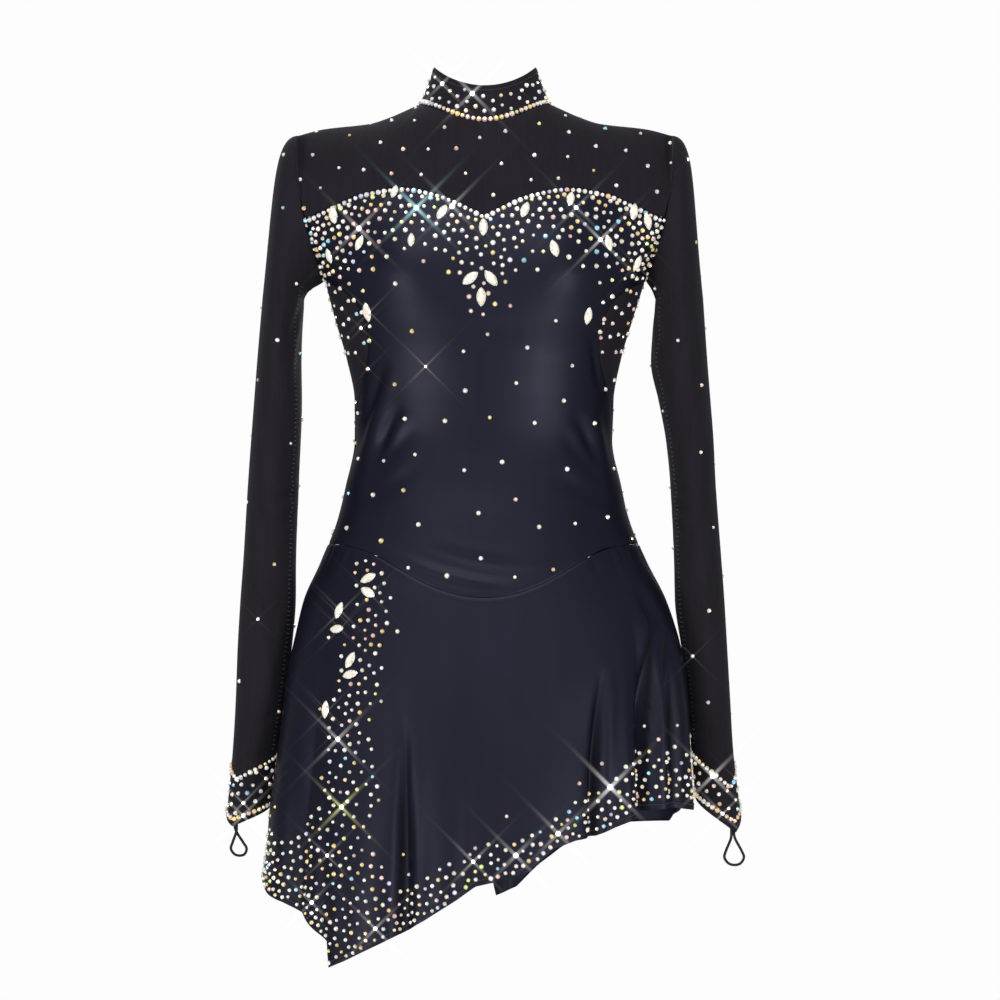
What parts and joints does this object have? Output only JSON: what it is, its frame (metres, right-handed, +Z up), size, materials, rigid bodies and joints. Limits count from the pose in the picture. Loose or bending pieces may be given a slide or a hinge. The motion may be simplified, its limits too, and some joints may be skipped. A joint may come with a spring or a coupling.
{
  "type": "figure skating dress",
  "caption": "Long-sleeved figure skating dress with a stand collar, sheer mesh yoke, sweetheart satin bodice, flared pointed-hem skirt, finger loops and crystal stones.",
  "frame": {"origin": "midway between the shoulders at the foot of the collar, where the wearer's shoulders carry the dress", "axes": "+Z up, the front of the dress faces -Y, +X to the wearer's left"},
  "size_m": [0.4947, 0.3067, 0.8371],
  "materials": {
    "mesh": "matte stretch mesh",
    "satin": "smooth stretch satin with a soft sheen",
    "elastic": "matte elastic cord",
    "crystal": "faceted crystal with an iridescent coating",
    "button": "glossy"
  },
  "bodies": {
    "root": {"collar": "mesh", "yoke_front": "mesh", "back_mesh_left": "mesh", "back_mesh_right": "mesh", "bodice_front": "satin", "bodice_back": "satin", "skirt_front": "satin", "skirt_back": "satin", "sleeve_upper_left": "mesh", "sleeve_lower_left": "mesh", "sleeve_upper_right": "mesh", "sleeve_lower_right": "mesh", "finger_loop_left": "elastic", "finger_loop_right": "elastic", "stone_01": "crystal", "stone_02": "crystal", "stone_03": "crystal", "stone_04": "crystal", "stone_05": "crystal", "stone_06": "crystal", "stone_07": "crystal", "stone_08": "crystal", "stone_09": "crystal", "stone_10": "crystal", "stone_11": "crystal", "stone_12": "crystal", "stone_13": "crystal", "stone_14": "crystal", "stone_15": "crystal", "stone_16": "crystal", "stone_17": "crystal", "stone_18": "crystal", "stone_19": "crystal", "stone_20": "crystal", "stone_21": "crystal", "stone_22": "crystal", "stone_23": "crystal", "stone_24": "crystal", "stone_25": "crystal", "stone_26": "crystal", "back_button_1": "button", "back_button_2": "button", "back_button_3": "button"}
  },
  "joints": []
}
